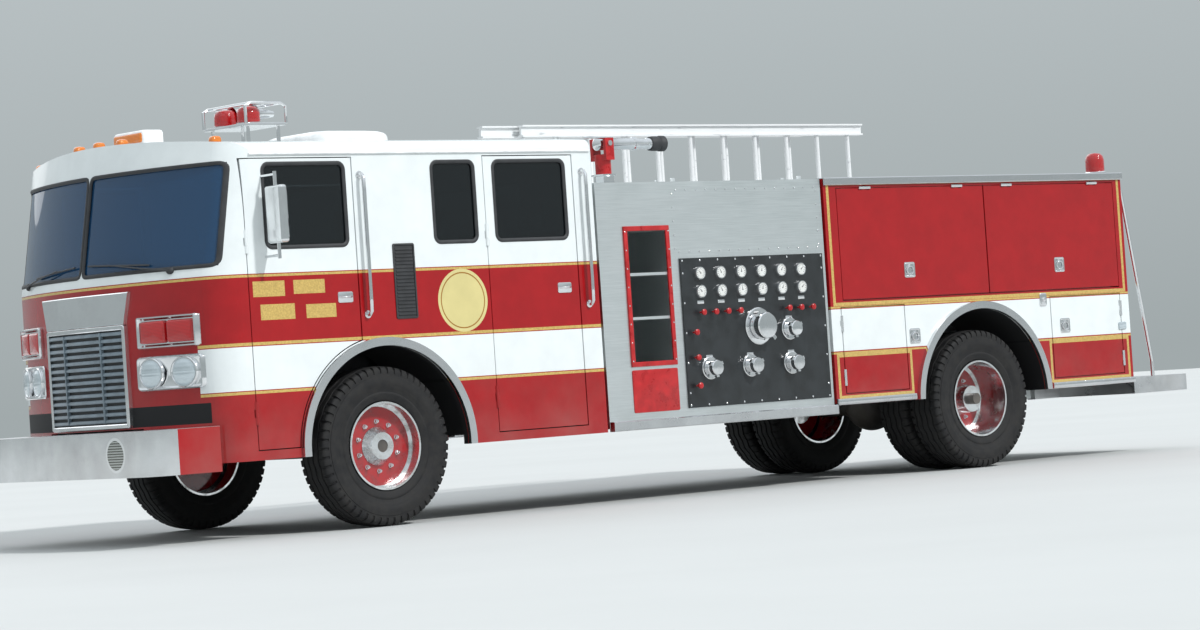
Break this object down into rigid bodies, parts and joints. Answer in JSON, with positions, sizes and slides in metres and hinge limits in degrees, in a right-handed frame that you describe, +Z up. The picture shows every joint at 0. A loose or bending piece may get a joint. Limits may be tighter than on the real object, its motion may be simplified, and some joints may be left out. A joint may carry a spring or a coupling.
{
  "type": "fire engine",
  "caption": "Custom cab pumper fire engine with opening cab and locker doors, steered front wheels, twin rear wheels, pump panel, hose bed, ladders and a deck gun.",
  "frame": {"origin": "on the ground, at the middle of the overall length and width", "axes": "+X forward, +Y to the vehicle's left, +Z up"},
  "size_m": [10, 2.94, 2.86],
  "materials": {
    "red_white_paint": "gloss red paint, white upper works and a white mid stripe",
    "frame_paint": "satin black chassis paint",
    "polished_steel": "brushed and polished stainless steel",
    "bright_chrome": "chrome plate",
    "treadplate": "bright aluminium treadplate",
    "tyre_rubber": "matt black rubber",
    "rim_paint": "red painted disc wheel with a polished hub",
    "black_panel": "satin black panel",
    "clear_glass": "tinted glass",
    "lamp_glass": "clear lamp glass",
    "red_lens": "red lens",
    "amber_lens": "amber lens",
    "white_unit": "white roof units",
    "dark_trim": "dark grained trim",
    "seat_vinyl": "black seat vinyl",
    "cast_iron": "cast iron and steel",
    "white_ladder": "white painted aluminium"
  },
  "bodies": {
    "chassis": {"arch_trims": "bright_chrome", "body_left": "red_white_paint", "body_middle": "red_white_paint", "body_right": "red_white_paint", "cab_glass": "clear_glass", "cab_seats": "seat_vinyl", "cab_shell": "red_white_paint", "dashboard": "dark_trim", "engine_block": "cast_iron", "engine_cover": "dark_trim", "frame_rails": "frame_paint", "front_axle": "frame_paint", "front_bumper": "bright_chrome", "fuel_tank": "polished_steel", "grille": "polished_steel", "hand_rails": "bright_chrome", "headlamps": "lamp_glass", "ladders": "white_ladder", "leaf_springs": "frame_paint", "marker_lamps": "amber_lens", "pump_block": "cast_iron", "pump_fittings": "bright_chrome", "pump_module": "polished_steel", "pump_panels": "black_panel", "rear_axle": "frame_paint", "rear_lamps": "red_lens", "rear_step": "treadplate", "roof_units": "white_unit", "warning_lamps": "red_lens"},
    "knuckle_left": {"knuckle_left": "frame_paint"},
    "wheel_front_left": {"tyre_front_left": "tyre_rubber", "rim_front_left": "rim_paint"},
    "wheel_rear_left": {"tyres_rear_left": "tyre_rubber", "rims_rear_left": "rim_paint"},
    "door_front_left": {"door_front_left": "red_white_paint", "glass_front_left": "clear_glass", "mirror_left": "bright_chrome"},
    "door_crew_left": {"door_crew_left": "red_white_paint", "glass_crew_left": "clear_glass"},
    "bay_upper_front_left": {"bay_upper_front_left": "red_white_paint"},
    "bay_upper_rear_left": {"bay_upper_rear_left": "red_white_paint"},
    "bay_lower_front_left": {"bay_lower_front_left": "red_white_paint"},
    "bay_lower_rear_left": {"bay_lower_rear_left": "red_white_paint"},
    "knuckle_right": {"knuckle_right": "frame_paint"},
    "wheel_front_right": {"tyre_front_right": "tyre_rubber", "rim_front_right": "rim_paint"},
    "wheel_rear_right": {"tyres_rear_right": "tyre_rubber", "rims_rear_right": "rim_paint"},
    "door_front_right": {"door_front_right": "red_white_paint", "glass_front_right": "clear_glass", "mirror_right": "bright_chrome"},
    "door_crew_right": {"door_crew_right": "red_white_paint", "glass_crew_right": "clear_glass"},
    "bay_upper_front_right": {"bay_upper_front_right": "red_white_paint"},
    "bay_upper_rear_right": {"bay_upper_rear_right": "red_white_paint"},
    "bay_lower_front_right": {"bay_lower_front_right": "red_white_paint"},
    "bay_lower_rear_right": {"bay_lower_rear_right": "red_white_paint"},
    "gun_turret": {"gun_turret": "cast_iron"},
    "gun_barrel": {"gun_barrel": "bright_chrome"}
  },
  "joints": [
    {"name": "steer_left", "type": "hinge", "parent": "chassis", "child": "knuckle_left", "pos_m": [3.15, 0.85, 0.53], "axis": [0, 0, 1], "range_deg": [-32, 32]},
    {"name": "spin_front_left", "type": "hinge", "parent": "knuckle_left", "child": "wheel_front_left", "pos_m": [3.15, 1.055, 0.53], "axis": [0, 1, 0], "continuous": true},
    {"name": "spin_rear_left", "type": "hinge", "parent": "chassis", "child": "wheel_rear_left", "pos_m": [-2.6, 0.89, 0.53], "axis": [0, 1, 0], "continuous": true},
    {"name": "open_door_front_left", "type": "hinge", "parent": "chassis", "child": "door_front_left", "pos_m": [4.202, 1.23, 1.5], "axis": [0, 0, -1], "range_deg": [0, 72]},
    {"name": "open_door_crew_left", "type": "hinge", "parent": "chassis", "child": "door_crew_left", "pos_m": [2.217, 1.23, 1.5], "axis": [0, 0, -1], "range_deg": [0, 72]},
    {"name": "lift_upper_front_left", "type": "hinge", "parent": "chassis", "child": "bay_upper_front_left", "pos_m": [-1.93, 1.23, 2.167], "axis": [1, 0, 0], "range_deg": [0, 95]},
    {"name": "lift_upper_rear_left", "type": "hinge", "parent": "chassis", "child": "bay_upper_rear_left", "pos_m": [-3.49, 1.23, 2.167], "axis": [1, 0, 0], "range_deg": [0, 95]},
    {"name": "open_lower_front_left", "type": "hinge", "parent": "chassis", "child": "bay_lower_front_left", "pos_m": [-1.1045, 1.23, 0.96], "axis": [0, 0, -1], "range_deg": [0, 95]},
    {"name": "open_lower_rear_left", "type": "hinge", "parent": "chassis", "child": "bay_lower_rear_left", "pos_m": [-4.2455, 1.23, 0.96], "axis": [0, 0, 1], "range_deg": [0, 95]},
    {"name": "steer_right", "type": "hinge", "parent": "chassis", "child": "knuckle_right", "pos_m": [3.15, -0.85, 0.53], "axis": [0, 0, 1], "range_deg": [-32, 32]},
    {"name": "spin_front_right", "type": "hinge", "parent": "knuckle_right", "child": "wheel_front_right", "pos_m": [3.15, -1.055, 0.53], "axis": [0, 1, 0], "continuous": true},
    {"name": "spin_rear_right", "type": "hinge", "parent": "chassis", "child": "wheel_rear_right", "pos_m": [-2.6, -0.89, 0.53], "axis": [0, 1, 0], "continuous": true},
    {"name": "open_door_front_right", "type": "hinge", "parent": "chassis", "child": "door_front_right", "pos_m": [4.202, -1.23, 1.5], "axis": [0, 0, 1], "range_deg": [0, 72]},
    {"name": "open_door_crew_right", "type": "hinge", "parent": "chassis", "child": "door_crew_right", "pos_m": [2.217, -1.23, 1.5], "axis": [0, 0, 1], "range_deg": [0, 72]},
    {"name": "lift_upper_front_right", "type": "hinge", "parent": "chassis", "child": "bay_upper_front_right", "pos_m": [-1.93, -1.23, 2.167], "axis": [-1, 0, 0], "range_deg": [0, 95]},
    {"name": "lift_upper_rear_right", "type": "hinge", "parent": "chassis", "child": "bay_upper_rear_right", "pos_m": [-3.49, -1.23, 2.167], "axis": [-1, 0, 0], "range_deg": [0, 95]},
    {"name": "open_lower_front_right", "type": "hinge", "parent": "chassis", "child": "bay_lower_front_right", "pos_m": [-1.1045, -1.23, 0.96], "axis": [0, 0, 1], "range_deg": [0, 95]},
    {"name": "open_lower_rear_right", "type": "hinge", "parent": "chassis", "child": "bay_lower_rear_right", "pos_m": [-4.2455, -1.23, 0.96], "axis": [0, 0, -1], "range_deg": [0, 95]},
    {"name": "gun_swivel", "type": "hinge", "parent": "chassis", "child": "gun_turret", "pos_m": [0.06, 0, 2.42], "axis": [0, 0, 1], "range_deg": [-170, 170]},
    {"name": "gun_tilt", "type": "hinge", "parent": "gun_turret", "child": "gun_barrel", "pos_m": [0.06, 0, 2.62], "axis": [0, 1, 0], "range_deg": [-2, 60]}
  ],
  "couplings": [
    {"joint": "steer_right", "follows": "steer_left", "ratio": 1}
  ]
}
